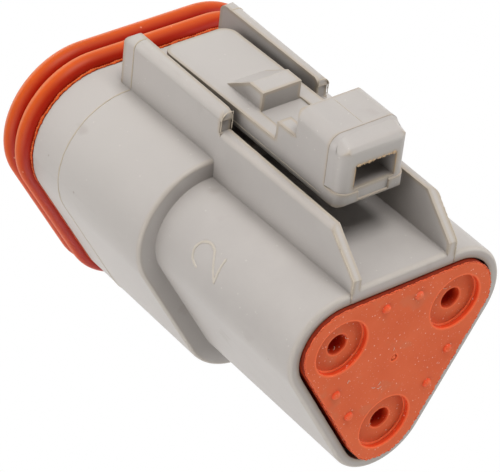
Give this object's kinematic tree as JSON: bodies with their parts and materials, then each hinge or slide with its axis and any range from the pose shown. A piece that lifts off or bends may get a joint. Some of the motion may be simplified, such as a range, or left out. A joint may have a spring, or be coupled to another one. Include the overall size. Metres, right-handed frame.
{
  "type": "sealed wire connector plug",
  "caption": "Sealed triangular wire connector plug with a thumb latch between two rails, a ribbed orange interface seal and a rubber wire seal with round wire holes.",
  "frame": {"origin": "on the plug's axis, through the middle of the contact triangle, in the plane of the mating face", "axes": "+Z along the plug from the mating face to the wire end, -Y towards the latch, X across the latch"},
  "size_m": [0.0256, 0.0316, 0.0372],
  "materials": {
    "housing_plastic": "satin moulded, fine grain",
    "interface_rubber": "smooth silicone, slight sheen",
    "wire_rubber": "matt silicone, dusty",
    "wedge_plastic": "satin moulded",
    "contact_metal": "nickel plated, satin",
    "hood_steel": "stainless, satin"
  },
  "bodies": {
    "plug": {"housing": "housing_plastic", "interface_seal": "interface_rubber", "wire_seal": "wire_rubber", "wedge_lock": "wedge_plastic", "contact_1": "contact_metal", "contact_2": "contact_metal", "contact_3": "contact_metal", "hood_1": "hood_steel", "hood_2": "hood_steel", "hood_3": "hood_steel"},
    "latch": {"latch_arm": "housing_plastic"}
  },
  "joints": [
    {"name": "latch_press", "type": "hinge", "parent": "plug", "child": "latch", "pos_m": [0, -0.0113, 0.0101], "axis": [-1, 0, 0], "range_deg": [0, 8.5], "stiffness_Nm_per_rad": 1.2}
  ]
}
